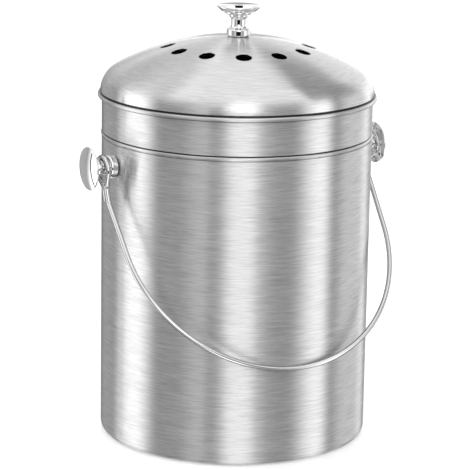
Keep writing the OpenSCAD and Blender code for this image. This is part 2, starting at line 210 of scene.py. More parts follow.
class Nodes:
    """Short hand for building a node tree."""

    def __init__(self, tree):
        self.tree = tree
        tree.nodes.clear()

    def add(self, kind, links=None, **values):
        node = self.tree.nodes.new(kind)
        for key, value in values.items():
            setattr(node, key, value)
        for socket, source in (links or {}).items():
            if isinstance(source, bpy.types.NodeSocket):
                self.tree.links.new(source, node.inputs[socket])
            else:
                node.inputs[socket].default_value = source
        return node

    def math(self, op, a, b=None, c=None, clamp=False):
        links = {0: a}
        if b is not None:
            links[1] = b
        if c is not None:
            links[2] = c
        return self.add("ShaderNodeMath", links, operation=op, use_clamp=clamp).outputs[0]

    def remap(self, value, lo, hi, to_lo=0.0, to_hi=1.0, smooth=False):
        kind = "SMOOTHSTEP" if smooth else "LINEAR"
        return self.add("ShaderNodeMapRange", {0: value, 1: lo, 2: hi, 3: to_lo, 4: to_hi},
                        interpolation_type=kind).outputs[0]

    def degrees(self, y, x):
        """Angle of the direction (x, y) in degrees."""
        return self.math("MULTIPLY", self.math("ARCTAN2", y, x), 180 / math.pi)

    def here(self):
        """Object coordinates of the point that is shaded."""
        return self.add("ShaderNodeTexCoord").outputs["Object"]

    def noise(self, vector, scale, detail, roughness=0.5, output=0):
        return self.add("ShaderNodeTexNoise", {"Vector": vector, "Scale": scale, "Detail": detail,
                                               "Roughness": roughness}).outputs[output]

    def join(self, source, socket):
        self.tree.links.new(source, socket)

    def paint(self, bsdf, colour, shade):
        """Base colour: a plain colour times a shade that varies."""
        node = self.add("ShaderNodeVectorMath", {0: colour, 1: shade}, operation="MULTIPLY")
        self.join(node.outputs[0], bsdf.inputs["Base Color"])

    def emboss(self, bsdf, height, strength, distance):
        node = self.add("ShaderNodeBump", {"Height": height, "Strength": strength, "Distance": distance})
        self.join(node.outputs[0], bsdf.inputs["Normal"])


def material(name):
    """A new material with its node helper and its Principled shader."""
    mat = bpy.data.materials.new(name)
    mat.use_nodes = True
    n = Nodes(mat.node_tree)
    out = n.add("ShaderNodeOutputMaterial")
    bsdf = n.add("ShaderNodeBsdfPrincipled")
    n.join(bsdf.outputs[0], out.inputs[0])
    return mat, n, bsdf


def brush_vector(n, along, across):
    """Coordinates that stretch a noise round the Z axis, across the lines over wall and dome alike."""
    x, y, z = n.add("ShaderNodeSeparateXYZ", {0: n.here()}).outputs
    r = n.math("SQRT", n.math("ADD", n.math("MULTIPLY", x, x), n.math("MULTIPLY", y, y)))
    w = n.math("SUBTRACT", r, z)
    return n.add("ShaderNodeCombineXYZ", {0: n.math("MULTIPLY", x, along), 1: n.math("MULTIPLY", y, along),
                                          2: n.math("MULTIPLY", w, across)}).outputs[0]


def brushed(name, tone, rough, stretch, depth=0.25, mottle=0.22, along=75.0, across=1250.0, painted_shade=()):
    """Brushed stainless steel, its lines running round the Z axis, with shade painted darker into its creases and
    gaps.
    """
    mat, n, bsdf = material(name)
    fine = n.noise(brush_vector(n, along, across), 1.0, 3.0, 0.65)
    broad = n.noise(brush_vector(n, along * 0.35, across * 0.16), 1.0, 2.0)
    both = n.math("ADD", n.math("MULTIPLY", fine, 0.85), n.math("MULTIPLY", broad, 0.15))
    shade = n.remap(both, 0.3, 0.7, 1.0 - mottle, 1.0 + mottle)
    height = n.add("ShaderNodeSeparateXYZ", {0: n.here()}).outputs[2]
    # Painted shade: each band darkens the base colour at a crease or gap, where shade falls
    for level, half, dark in painted_shade:
        away = n.math("ABSOLUTE", n.math("SUBTRACT", height, level * MM))
        line = n.remap(away, half * MM * 0.6, half * MM * 1.3, 1.0 - dark, 1.0, smooth=True)
        shade = n.math("MULTIPLY", shade, line)
    n.paint(bsdf, (tone, tone, tone * 1.004), shade)
    n.join(n.remap(both, 0.3, 0.7, rough * 0.93, rough * 1.07), bsdf.inputs["Roughness"])
    bsdf.inputs["Metallic"].default_value = 1.0
    bsdf.inputs["Anisotropic"].default_value = stretch
    bsdf.inputs["Anisotropic Rotation"].default_value = 0.25
    n.join(n.add("ShaderNodeTangent", direction_type="RADIAL", axis="Z").outputs[0], bsdf.inputs["Tangent"])
    n.emboss(bsdf, fine, depth, 0.00004)
    return mat


def polished(name, tone, rough, edge=1.0):
    """Chrome with a trace of polishing haze and tiny waves."""
    mat, n, bsdf = material(name)
    bsdf.inputs["Specular Tint"].default_value = (edge, edge, edge, 1.0)
    where = n.here()
    haze = n.noise(where, 260.0, 4.0, 0.6)
    wave = n.noise(where, 90.0, 1.0, 0.4)
    n.paint(bsdf, (tone, tone, tone), n.remap(haze, 0.3, 0.7, 0.97, 1.03))
    n.join(n.remap(haze, 0.3, 0.7, rough * 0.6, rough * 1.5), bsdf.inputs["Roughness"])
    bsdf.inputs["Metallic"].default_value = 1.0
    n.emboss(bsdf, wave, 0.12, 0.0001)
    return mat


def moulded(name, tone, rough, grain, depth, specular=0.45):
    """Moulded plastic or rubber with a fine grain."""
    mat, n, bsdf = material(name)
    where = n.here()
    fine = n.noise(where, grain, 3.0, 0.6)
    cloud = n.noise(where, grain * 0.04, 2.0)
    n.paint(bsdf, (tone, tone, tone * 1.03), n.remap(cloud, 0.3, 0.7, 0.85, 1.15))
    n.join(n.remap(fine, 0.3, 0.7, rough - 0.06, rough + 0.08), bsdf.inputs["Roughness"])
    bsdf.inputs["Specular IOR Level"].default_value = specular
    n.emboss(bsdf, fine, depth, 0.0001)
    return mat


def felt(name):
    """Carbon-loaded felt: matted fibres with grey flecks."""
    mat, n, bsdf = material(name)
    where = n.here()
    bent = n.noise(where, 240.0, 2.0, output="Color")
    warped = n.add("ShaderNodeVectorMath", {0: where, 1: bent, 2: (0.006, 0.006, 0.006)}, operation="MULTIPLY_ADD")
    fibre = n.add("ShaderNodeTexWave", {"Vector": warped.outputs[0], "Scale": 620.0, "Distortion": 9.0,
                                        "Detail": 3.0, "Detail Scale": 2.2}).outputs[1]
    fleck = n.add("ShaderNodeTexVoronoi", {"Vector": where, "Scale": 900.0}).outputs[0]
    shade = n.math("ADD", n.remap(fibre, 0.2, 0.9, 0.012, 0.035), n.remap(fleck, 0.0, 0.25, 0.05, 0.0))
    n.join(n.add("ShaderNodeCombineColor", {0: shade, 1: shade, 2: shade}).outputs[0], bsdf.inputs["Base Color"])
    bsdf.inputs["Roughness"].default_value = 0.95
    bsdf.inputs["Specular IOR Level"].default_value = 0.15
    bsdf.inputs["Sheen Weight"].default_value = 0.25
    bsdf.inputs["Sheen Roughness"].default_value = 0.5
    n.emboss(bsdf, fibre, 0.8, 0.0005)
    return mat


# The pail's and the dome's steel carry painted shade lines at their creases and gaps
STEEL = brushed("brushed_pail", 0.66, 0.34, 1.0, painted_shade=PAIL_PAINTED_SHADE)
DOME_STEEL = brushed("brushed_dome", 0.66, 0.24, 1.0, depth=0.1, mottle=0.16, along=90.0, painted_shade=DOME_PAINTED_SHADE)
SATIN = brushed("satin_skirt", 0.6, 0.38, 0.6, depth=0.15, mottle=0.03)
CHROME = polished("chrome", 0.84, 0.04)
WIRE = polished("chrome_wire", 0.68, 0.05, edge=0.1)
ZINC = polished("zinc_plate", 0.62, 0.22)
RUBBER = moulded("seal_rubber", 0.022, 0.7, 2200.0, 0.3, 0.3)
PLASTIC = moulded("black_plastic", 0.018, 0.42, 1500.0, 0.22)
FELT = felt("charcoal_felt")


# Pail

def pail_profile():
    """Section of the drawn pail, outside first: floor with its pressed ring, bend, wall, bead and rolled rim."""
    bend_x = BODY_R - BASE_BEND
    ring_in, ring_out = RING_R - RING_W / 2, RING_R + RING_W / 2
    soft = RING_SOFT
    outside = [(0.0, 0.0), (20.0, 0.0), (40.0, 0.0)]
    outside += arc(ring_in + SHEET - soft, soft, soft, -90, -20, 6)
    outside += arc(ring_in + SHEET + soft, RING_H - soft, soft, 160, 90, 6)
    outside += arc(ring_out - SHEET - soft, RING_H - soft, soft, 90, 20, 6)
    outside += arc(ring_out - SHEET + soft, soft, soft, 200, 270, 6)
    outside += [(70.0, 0.0), (80.0, 0.0)] + arc(bend_x, BASE_BEND, BASE_BEND, -90, 0, 14)
    outside += [(BODY_R, z) for z in (15.0, 40.0, 80.0, 120.0, 160.0, 190.0)]
    bead_x = BODY_R + BEAD_PROUD - BEAD_R
    half = math.degrees(math.acos((BODY_R - bead_x) / BEAD_R))
    outside += [(BODY_R, BEAD_Z - 2.2), (BODY_R - 0.05, BEAD_Z - 1.5)]
    outside += arc(bead_x, BEAD_Z, BEAD_R, -half, half, 12)
    outside += [(BODY_R - GROOVE + 0.02, BEAD_Z + 1.3), (BODY_R - GROOVE, BEAD_Z + 1.5), (BODY_R, BEAD_Z + 1.62),
                (BODY_R, BEAD_Z + 2.2), (BODY_R, 215.0), (BODY_R, 225.0), (BODY_R, CURL_Z)]
    rolled_in = arc(CURL_X, CURL_Z, CURL_R - SHEET, 180, -105, 30)
    tip = arc(CURL_X + (CURL_R - SHEET / 2) * math.cos(math.radians(-105)),
              CURL_Z + (CURL_R - SHEET / 2) * math.sin(math.radians(-105)), SHEET / 2, 75, -105, 6)
    rolled_out = arc(CURL_X, CURL_Z, CURL_R, -105, 180, 44)
    inside = [(MOUTH_R, z) for z in (225.0, 215.0, BEAD_Z + 2.4)]
    inside += arc(bead_x - 0.1, BEAD_Z, BEAD_R - SHEET + 0.25, 62, -62, 8)
    inside += [(MOUTH_R, z) for z in (BEAD_Z - 2.4, 190.0, 160.0, 120.0, 80.0, 40.0, 15.0)]
    inside += arc(bend_x, BASE_BEND, BASE_BEND - SHEET, 0, -90, 12)
    inside += [(80.0, SHEET), (70.0, SHEET)]
    inside += arc(ring_out + soft - 0.3, SHEET + soft, soft, 270, 200, 6)
    inside += arc(ring_out - soft - 0.3, SHEET + RING_H - soft, soft, 20, 90, 6)
    inside += arc(ring_in + soft + 0.3, SHEET + RING_H - soft, soft, 90, 160, 6)
    inside += arc(ring_in - soft + 0.3, SHEET + soft, soft, -20, -90, 6)
    inside += [(40.0, SHEET), (20.0, SHEET), (0.0, SHEET)]
    return tidy(outside + rolled_in + tip + rolled_out + inside)


def make_pail():
    bm = bmesh.new()
    spin(bm, pail_profile(), PAIL_SEG, closed=False)
    return finish_mesh("pail", bm, "pail", STEEL, "pail_body")


# Lid

def sphere_point(polar, turn, radius):
    return Vector((radius * math.sin(polar) * math.cos(turn), radius * math.sin(polar) * math.sin(turn),
                   DOME_Z + radius * math.cos(polar)))


def dome_point(rad, r):
    return r, DOME_Z + math.sqrt(rad ** 2 - r ** 2)


def vent_border(mid, span, rad):
    """The outline of one vent's tile as (polar angle, turn)."""
    p0, p1 = math.asin(VENT_BAND_IN / rad), math.asin(VENT_BAND_OUT / rad)
    lo, hi = mid - span / 2, mid + span / 2
    border = [(p0, lo + span * i / VENT_SEG) for i in range(VENT_SEG)]
    border += [(p0 + (p1 - p0) * i / VENT_ROWS, hi) for i in range(VENT_ROWS)]
    border += [(p1, hi - span * i / VENT_SEG) for i in range(VENT_SEG)]
    border += [(p1 + (p0 - p1) * i / VENT_ROWS, lo) for i in range(VENT_ROWS)]
    return border


def add_vent(bm, mid, span, rad, outer):
    """One vent's tile on a face of the dome; the outer face has the bore and its rolled edge as well."""
    foot = Vector((0, 0, DOME_Z))
    centre = sphere_point(math.asin(VENT_RING / DOME_R), mid, 1.0) - foot
    east = Vector((-math.sin(mid), math.cos(mid), 0))
    north = centre.cross(east)
    border = [sphere_point(p, t, 1.0) - foot for p, t in vent_border(mid, span, rad)]
    ways = []
    for d in border:
        a = math.atan2(d.dot(north), d.dot(east))
        ways.append(east * math.cos(a) + north * math.sin(a))

    def circle(reach, height):
        return [centre * height + way * reach + foot for way in ways]

    loops = []
    if outer:
        loops.append(circle(VENT_R, math.sqrt((DOME_R - SHEET) ** 2 - VENT_R ** 2)))
        level = math.sqrt(DOME_R ** 2 - VENT_R ** 2)
        for i in range(ROLL_STEPS, 0, -1):
            u = math.radians(90.0 * i / ROLL_STEPS)
            loops.append(circle(VENT_R + VENT_ROLL * (1 - math.sin(u)), level - VENT_ROLL * (1 - math.cos(u))))
    rho = math.asin((VENT_R + (VENT_ROLL if outer else 0.0)) / rad)
    for s in range(VENT_STEPS + 1):
        t = (s / VENT_STEPS) ** VENT_CROWD
        ring = []
        for d, way in zip(border, ways):
            h = centre * math.cos(rho) + way * math.sin(rho)
            ring.append((h * (1 - t) + d * t).normalized() * rad + foot)
        loops.append(ring)
    stack(bm, [[bm.verts.new(p) for p in ring] for ring in loops], ends=False)


def make_dome():
    """Spun dome as one shell with its twelve punched vents, their edges rolled down a little."""
    bm = bmesh.new()
    span = 2 * math.pi / VENTS
    seg = VENTS * VENT_SEG
    start = math.radians(VENT_TURN) - span / 2
    place = Matrix.Rotation(start, 4, "Z")
    bore, seat_edge, lip_z = THREAD_R + SCREW_GAP, SEAT_R + 1.2, LID_Z + LIP_H
    for depth in (0.0, SHEET):
        rad = DOME_R - depth
        seat = [(r, SEAT_Z - depth) for r in (bore, 5.0, 7.0)] + [(SEAT_R - 1.0, SEAT_Z - depth - 0.01)]
        crown = [dome_point(rad, seat_edge + (VENT_BAND_IN - seat_edge) * i / 14) for i in range(15)]
        spin(bm, tidy(seat + crown), seg, place, closed=False)
        r_tan = SHOULDER_X + (SHOULDER_R - depth) * math.cos(DOME_TURN)
        skirt = [dome_point(rad, VENT_BAND_OUT + (r_tan - VENT_BAND_OUT) * i / 12) for i in range(12)]
        skirt += arc(SHOULDER_X, SHOULDER_Z, SHOULDER_R - depth, math.degrees(DOME_TURN), 0, 26)
        skirt += [(LID_R - depth, lip_z)]
        spin(bm, tidy(skirt), seg, place, closed=False)
        for k in range(VENTS):
            add_vent(bm, start + (k + 0.5) * span, span, rad, depth == 0.0)
    half = SHEET / 2
    spin(bm, [(LID_R, lip_z)] + arc(LID_R - half, lip_z, half, 0, -180, 8)[1:-1] + [(LID_R - SHEET, lip_z)],
         seg, place, closed=False)
    spin(bm, [(bore, SEAT_Z), (bore, SEAT_Z - SHEET)], seg, place, closed=False)
    return finish_mesh("dome", bm, "lid", DOME_STEEL, "lid_dome")


def make_skirt():
    """Ring with a flange under the dome, its lower edge round."""
    bm = bmesh.new()
    inner = SKIRT_R - SHEET
    bend_x, bend_z = inner + SKIRT_BEND, FLANGE_Z - SKIRT_BEND
    profile = [(SKIRT_R, SKIRT_Z + 0.3), (SKIRT_R, 222.0), (SKIRT_R, bend_z)]
    profile += arc(bend_x, bend_z, SKIRT_BEND - SHEET, 180, 90, 6)
    profile += [(FLANGE_R - 0.1, FLANGE_Z - SHEET)] + arc(FLANGE_R - 0.3, FLANGE_Z - 0.3, 0.3, -90, 90, 8)
    profile += arc(bend_x, bend_z, SKIRT_BEND, 90, 180, 8)
    profile += [(inner, 222.0), (inner, SKIRT_Z + 0.3)] + arc(inner + 0.3, SKIRT_Z + 0.3, 0.3, 180, 360, 8)
    spin(bm, tidy(profile), SKIRT_SEG)
    return finish_mesh("skirt", bm, "lid", SATIN, "lid_skirt")


# Knob and studs

def mushroom_profile(neck, lift):
    """Turned outline from the end of the bore over foot, neck, stepped flare and cap to the crown.

    A lift raises the cap's rim and flattens its crown by as much.
    """
    z0 = FOOT_H + neck
    cap_z = z0 + FLARE_H + lift
    span = CAP_R - CAP_EDGE / 2 - NECK_R
    s1, s2 = NECK_R + span * 0.15, NECK_R + span * 0.5
    crown_x = CAP_R - CAP_EDGE / 2
    crown_h = CROWN_H - lift
    crown_r = (crown_x ** 2 + crown_h ** 2) / (2 * crown_h)
    out = [(0.0, THREAD_L), (THREAD_R - 0.4, THREAD_L), (THREAD_R, THREAD_L - 0.5), (THREAD_R, 0.4),
           (THREAD_R + 0.3, 0.0), (FOOT_R - FOOT_CHAMFER, 0.0)]
    out += [(FOOT_R - 0.12, FOOT_CHAMFER - 0.1), (FOOT_R, FOOT_CHAMFER + 0.1), (FOOT_R, FOOT_CHAMFER + 0.25),
            (FOOT_R, FOOT_H - FOOT_ROUND - 0.15)]
    out += arc(FOOT_R - FOOT_ROUND, FOOT_H - FOOT_ROUND, FOOT_ROUND, 0, 90, 9)
    cove_r = (COVE_W ** 2 + COVE_H ** 2) / (2 * COVE_W)
    out += arc(NECK_R + cove_r, FOOT_H + COVE_H, cove_r, 180 + math.degrees(math.asin(COVE_H / cove_r)), 180, 9)
    out += [(NECK_R, FOOT_H + COVE_H + 0.15), (NECK_R, z0 - 1.15), (NECK_R, z0 - 1.0)]
    out += arc(NECK_R + 1.2, z0 - 1.0 + 0.2, 1.2, 180, 128, 5)
    out += arc(s1 - 0.12, z0 + FLARE_H * 0.24, 0.32, -60, 60, 5)
    out += [(s1 - 0.02, z0 + FLARE_H * 0.33)]
    mid = (s1 + s2) / 2
    out += [(mid - 0.25, z0 + FLARE_H * 0.42), (s2 - 0.35, z0 + FLARE_H * 0.55)]
    out += arc(s2 - 0.15, z0 + FLARE_H * 0.62, 0.34, -50, 70, 5)
    out += [(s2 + 0.1, z0 + FLARE_H * 0.71), ((s2 + crown_x) / 2 + 0.1, z0 + FLARE_H * 0.83)]
    out += arc(crown_x, cap_z + CAP_EDGE / 2, CAP_EDGE / 2, -58, 78, 8)
    top = cap_z + CAP_EDGE + crown_h
    for i in range(1, 17):
        r = crown_x * (1 - i / 16)
        out.append((r, top - crown_r + math.sqrt(crown_r ** 2 - r ** 2)))
    return tidy(out)


def make_mushroom(name, neck, lift, place, body, node):
    bm = bmesh.new()
    spin(bm, mushroom_profile(neck, lift), TURNED_SEG, place, closed=False)
    return finish_mesh(name, bm, body, CHROME, node, sharp=50.0)


# Bail

def bail_path():
    """Centre line of the one-wire bail at rest, from the left tail's cut end to the right one's."""
    side_len = EYE_R * math.cos(EYE_TAPER) - STRAND - EYE_BEND * (1 - math.cos(EYE_TAPER))
    side_len /= math.sin(EYE_TAPER)
    eye_end = (EYE_DROP + EYE_R * math.sin(EYE_TAPER) + side_len * math.cos(EYE_TAPER)
               + EYE_BEND * math.sin(EYE_TAPER))
    kink_x = eye_end + TAIL_L
    kink_end_x, kink_end_y = kink_x + KINK_R * math.sin(KINK), -STRAND - KINK_R * (1 - math.cos(KINK))
    grip_x, grip_y = kink_end_x + HOOP_REACH * math.cos(KINK), kink_end_y - HOOP_REACH * math.sin(KINK)
    top_x = BODY_R + FOOT_H + EYE_SIDE + WIRE_R
    arc_r = (top_x * math.cos(LEG_LEAN) - HOOP_REACH * math.sin(LEG_LEAN)) / (1 - math.sin(LEG_LEAN))
    taper, kink, lean = math.degrees(EYE_TAPER), math.degrees(KINK), math.degrees(LEG_LEAN)
    flat = [(eye_end + TAIL_L, STRAND), (eye_end + TAIL_L - 0.4, STRAND), (eye_end + TAIL_L / 2, STRAND)]
    flat += arc(eye_end, STRAND + EYE_BEND, EYE_BEND, 270, 270 - taper, 8)
    flat += arc(EYE_DROP, 0.0, EYE_R, 90 - taper, 270 + taper, 44)
    flat += arc(eye_end, -STRAND - EYE_BEND, EYE_BEND, 90 + taper, 90, 8)
    flat += [(eye_end + TAIL_L / 2, -STRAND)] + arc(kink_x, -STRAND - KINK_R, KINK_R, 90, 90 - kink, 8)[:-1]
    left = [Vector((-top_x, y, -x)) for x, y in flat]
    right = [Vector((top_x, y, -x)) for x, y in flat]
    low = arc(0.0, arc_r - HOOP_REACH, arc_r, 180 + lean, 360 - lean, 150)
    legs = [(-top_x, 0.0), ((low[0][0] - top_x) / 2, low[0][1] / 2)]
    hoop = legs + low + [(-x, z) for x, z in reversed(legs)]
    forward = Matrix.Rotation(-KINK, 3, "X")
    middle = [Vector((0, kink_end_y, -kink_end_x)) + forward @ Vector((x, 0, z)) for x, z in hoop]
    angle = math.asin((BODY_R + WIRE_R + GAP) / math.hypot(grip_x, grip_y)) - math.atan2(-grip_y, grip_x)
    turn = Matrix.Rotation(-angle, 3, "X")
    points = [turn @ p + Vector((0, 0, STUD_Z)) for p in left + middle + list(reversed(right))]
    out = [points[0]]
    for p in points[1:]:
        if (p - out[-1]).length > 0.05:
            out.append(p)
    return out


def make_bail():
    """The bail as one swept wire, its cut ends a little thinner."""
    bm = bmesh.new()
    path = bail_path()
    radii = [WIRE_R] * len(path)
    radii[0] = radii[-1] = WIRE_R - 0.35
    sweep(bm, path, radii, WIRE_SEG)
    return finish_mesh("bail", bm, "bail", WIRE, "bail_handle", sharp=60.0)


# Filter

def rounded_bar(bm, corners, z0, z1, soft):
    """Upright prism over a polygon given counter-clockwise, its top and bottom edges rounded."""
    mid = sum((Vector(c) for c in corners), Vector((0, 0))) / len(corners)
    rings = []
    steps = [(z0, soft), (z0 + soft * 0.3, soft * 0.3), (z0 + soft, 0.0),
             (z1 - soft, 0.0), (z1 - soft * 0.3, soft * 0.3), (z1, soft)]
    for z, inset in steps:
        ring = []
        for c in corners:
            d = (Vector(c) - mid)
            ring.append(bm.verts.new(Vector((*(mid + d * (1 - inset / max(d.length, 0.01))), z))))
        rings.append(ring)
    stack(bm, rings)


def ring_profile(r0, r1, z0, z1, soft):
    """Section of a flat ring with rounded edges."""
    out = arc(r1 - soft, z0 + soft, soft, -90, 0, 4) + arc(r1 - soft, z1 - soft, soft, 0, 90, 4)
    out += arc(r0 + soft, z1 - soft, soft, 90, 180, 4) + arc(r0 + soft, z0 + soft, soft, 180, 270, 4)
    return tidy(out)


def add_tab(bm):
    """Pull tab under the tray: a rounded plate with three ribs on each side."""
    tab = bmesh.new()
    half, thick, low = PULL_W / 2, PULL_T / 2, TRAY_Z - PULL_H
    line = arc(-half + PULL_ROUND, low + PULL_ROUND, PULL_ROUND, 180, 270, 8)
    line += arc(half - PULL_ROUND, low + PULL_ROUND, PULL_ROUND, -90, 0, 8)
    line += [(half, TRAY_Z + 0.4), (-half, TRAY_Z + 0.4)]
    rings = []
    for y, inset in ((-thick, 0.35), (-thick + 0.12, 0.1), (-thick + 0.4, 0.0),
                     (thick - 0.4, 0.0), (thick - 0.12, 0.1), (thick, 0.35)):
        rings.append([tab.verts.new((x * (1 - inset / half), y, z + (inset if z < TRAY_Z else 0.0)))
                      for x, z in line])
    stack(tab, rings)
    take(bm, tab)
    corners = [(-RIB_HALF, -RIB_T), (RIB_HALF, -RIB_T), (RIB_HALF, RIB_T), (-RIB_HALF, RIB_T)]
    for side in (-1, 1):
        for row in range(RIBS):
            rib = bmesh.new()
            rounded_bar(rib, corners, thick - 0.3, thick, 0.12)
            turn = Matrix.Translation((0, 0, low + 1.9 + row * RIB_STEP))
            turn = turn @ Matrix.Rotation(math.radians(side * 90), 4, "X")
            for v in rib.verts:
                v.co = turn @ v.co
            take(bm, rib)


def make_tray():
    """Moulded tray: cup with a gripping lip, a ledge, a ring and spokes, a hub and a ribbed pull tab."""
    bm = bmesh.new()
    in_r = TRAY_R - TRAY_T
    ledge_r = in_r - TRAY_LEDGE
    top = TRAY_Z + TRAY_H
    lip_r = TRAY_R + TRAY_LIP
    cup = [(ledge_r, FILTER_Z - 0.3)] + arc(ledge_r + 0.4, TRAY_Z + 0.4, 0.4, 180, 270, 4)
    cup += arc(TRAY_R - 1.0, TRAY_Z + 1.0, 1.0, -90, 0, 6)
    cup += [(TRAY_R, top - TRAY_LIP_T)] + arc(lip_r - 0.5, top - TRAY_LIP_T + 0.5, 0.5, -90, 0, 4)
    cup += arc(lip_r - 0.5, top - 0.5, 0.5, 0, 90, 4)
    cup += arc(in_r + 0.4, top - 0.4, 0.4, 90, 180, 4)
    cup += [(in_r, KEEPER_Z + KEEPER_H), (in_r - KEEPER_W, KEEPER_Z + KEEPER_H * 0.55),
            (in_r - KEEPER_W, KEEPER_Z + 0.2), (in_r, KEEPER_Z), (in_r, FILTER_Z + 0.3), (in_r - 0.3, FILTER_Z)]
    cup += arc(ledge_r + 0.3, FILTER_Z - 0.3, 0.3, 90, 180, 3)
    spin(bm, tidy(cup), TRAY_SEG)
    half = SPOKE_W / 2
    spin(bm, ring_profile(GRID_R - half, GRID_R + half, TRAY_Z, FILTER_Z, 0.35), GRID_SEG)
    hub = [(0.0, TRAY_Z)] + arc(HUB_R - 0.4, TRAY_Z + 0.4, 0.4, -90, 0, 4)
    hub += arc(HUB_R - 0.4, FILTER_Z - 0.4, 0.4, 0, 90, 4) + [(0.0, FILTER_Z)]
    spin(bm, tidy(hub), HUB_SEG, closed=False)
    r0, r1 = HUB_R - 1.5, ledge_r + 1.5
    flank = [(r0, half * 1.35), (r0 + 5, half), (r1 - 6, half), (r1, half * 1.6)]
    for k in range(SPOKES):
        a = math.radians((k + 0.5) * 360 / SPOKES)
        u, v = Vector((math.cos(a), math.sin(a))), Vector((-math.sin(a), math.cos(a)))
        corners = [u * r - v * w for r, w in flank] + [u * r + v * w for r, w in reversed(flank)]
        bar = bmesh.new()
        rounded_bar(bar, [tuple(c) for c in corners], TRAY_Z + 0.05, FILTER_Z - 0.05, 0.3)
        take(bm, bar)
    add_tab(bm)
    return finish_mesh("tray", bm, "filter", PLASTIC, "filter_tray", sharp=35.0)


def make_pad():
    """Round pad of charcoal felt: pressed edges, slightly crowned, with a matted, uneven top and bottom."""
    bm = bmesh.new()
    rng = np.random.default_rng(11)
    waves = [(rng.uniform(0.05, 0.5), rng.uniform(0, 2 * math.pi), rng.uniform(0, 2 * math.pi)) for _ in range(16)]

    def bumps(x, y, shift):
        return sum(math.sin(f * (x * math.cos(a) + y * math.sin(a)) + p + shift) for f, a, p in waves) / 16

    seg, rows = PAD_SEG, 34
    soft = 1.6
    profile = [(0.0, 0.0, -1)]
    profile += [((FILTER_R - soft) * i / rows, 0.0, -1) for i in range(1, rows + 1)]
    profile += [(r, z, 0) for r, z in arc(FILTER_R - soft, soft, soft, -90, 0, 6)[1:]]
    profile += [(r, z, 0) for r, z in arc(FILTER_R - soft, FILTER_T - soft, soft, 0, 90, 6)]
    profile += [((FILTER_R - soft) * (1 - i / rows), FILTER_T, 1) for i in range(1, rows + 1)]
    rings = []
    for r, z, face in profile:
        ring = []
        for k in range(seg if r > 1e-6 else 1):
            a = 2 * math.pi * k / seg
            x, y = r * math.cos(a), r * math.sin(a)
            dip = 0.16 * (1 + bumps(x, y, face)) + 0.25 * (r / FILTER_R) ** 6 if face else 0.0
            rr = r * (1 - 0.0012 * (1 + math.sin(9 * a) * math.cos(4 * a + 1))) if not face else r
            ring.append(bm.verts.new((rr * math.cos(a), rr * math.sin(a), FILTER_Z + z - face * dip)))
        rings.append(ring * seg if len(ring) == 1 else ring)
    stack(bm, rings, ends=False)
    pad = finish_mesh("filter_pad", bm, "filter", FELT, "charcoal_filter", sharp=80.0)
    return pad


# Scene

def dress(node, mat):
    """Gives a CAD solid that stays in view its material."""
    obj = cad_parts[node]
    obj.data.materials.clear()
    obj.data.materials.append(mat)


make_pail()
make_dome()
make_skirt()
make_mushroom("knob", KNOB_NECK, KNOB_LIFT, Matrix.Translation((0, 0, SEAT_Z)), "lid", "lid_knob")
for name, side in (("left_stud", -1), ("right_stud", 1)):
    turn = Matrix.Translation((side * (BODY_R + CLAMP), 0, STUD_Z))
    turn = turn @ Matrix.Rotation(math.radians(side * 90), 4, "Y")
    make_mushroom(name + "_turned", STUD_NECK, 0.0, turn, "pail", name)
make_bail()
make_tray()
make_pad()
for node in ("knob_screw", "knob_washer", "left_stud_screw", "right_stud_screw"):
    dress(node, ZINC)
for node in ("left_stud_washer", "right_stud_washer"):
    dress(node, RUBBER)


# Floor and light

FLOOR_R, FLOOR_DARK, FLOOR_LIGHT = 9.0, 0.94, 0.96
FLOOR_ROUGH, FLOOR_SPECULAR, FLOOR_SELF = 0.12, 0.25, 0.3

# Panels that show on the wall: low edge, its softness, high edge, its softness (degrees round the wall), strength
WALL_BASE = 0.40
WALL_PANELS = [
    (-120.0, 5.0, -71.0, 5.0, 1.3),
    (-57.0, 6.0, -39.0, 6.0, 1.45),
    (-20.0, 5.0, 14.0, 6.0, 0.30),
    (-4.0, 4.0, 9.5, 4.0, 1.55),
    (30.5, 7.0, 43.0, 4.0, 1.3),
    (49.0, 6.0, 120.0, 5.0, 0.55),
    (68.0, 4.0, 120.0, 5.0, 0.45),
]
# Panels that show on the lid, in the same way
LID_BASE = 0.40
LID_PANELS = [
    (-170.0, 5.0, -72.0, 5.0, 0.55),
    (-80.0, 8.0, -30.0, 10.0, 0.28),
    (-46.0, 10.0, -22.0, 8.0, 0.30),
    (-26.0, 6.0, 27.0, 1.5, 0.80),
    (53.0, 5.0, 170.0, 5.0, 0.62),
]
# How far over the object each set reaches, from below the floor in front to the horizon behind
WALL_SPAN, LID_SPAN = (-62.0, 10.0, 34.0, 3.0), (34.0, 3.0, 172.0, 8.0)
APEX_SPAN, APEX_GLOW, APEX_GAP, APEX_DIP = (138.0, 158.0), 1.0, (-30.0, 8.0, 33.0, 6.0), 0.8
FLOOR_SPAN, FLOOR_GLOW = (-66.0, -52.0), 0.08
BEHIND_SPAN, BEHIND_GLOW = (164.0, 180.0), 0.75
# Shift of the point that the directions are measured from, and how the lid's panels widen over it
FACING_SHIFT = 0.975
WEDGE_TURN, WEDGE_WIDER, WEDGE_NARROWER = 115.0, 0.016, 0.0025
# Dark flags: azimuth span from the camera, elevation span, level
FLAGS = [
    ((-23.0, 1.5, 23.0, 1.5), (-21.0, 1.0, 1.0, 1.0), 0.01),
    ((-175.0, 8.0, -125.0, 4.0), (-40.0, 8.0, 12.0, 8.0), 0.46),
    ((-110.8, 0.5, -107.8, 0.5), (-30.0, 2.0, 4.0, 2.0), 0.01),
    ((150.0, 6.0, 202.0, 6.0), (-36.0, 4.0, -7.0, 1.0), 0.02),
    ((179.05, 0.12, 180.95, 0.12), (15.0, 0.6, 26.0, 0.6), 0.01),
]
DARKEST = 0.01


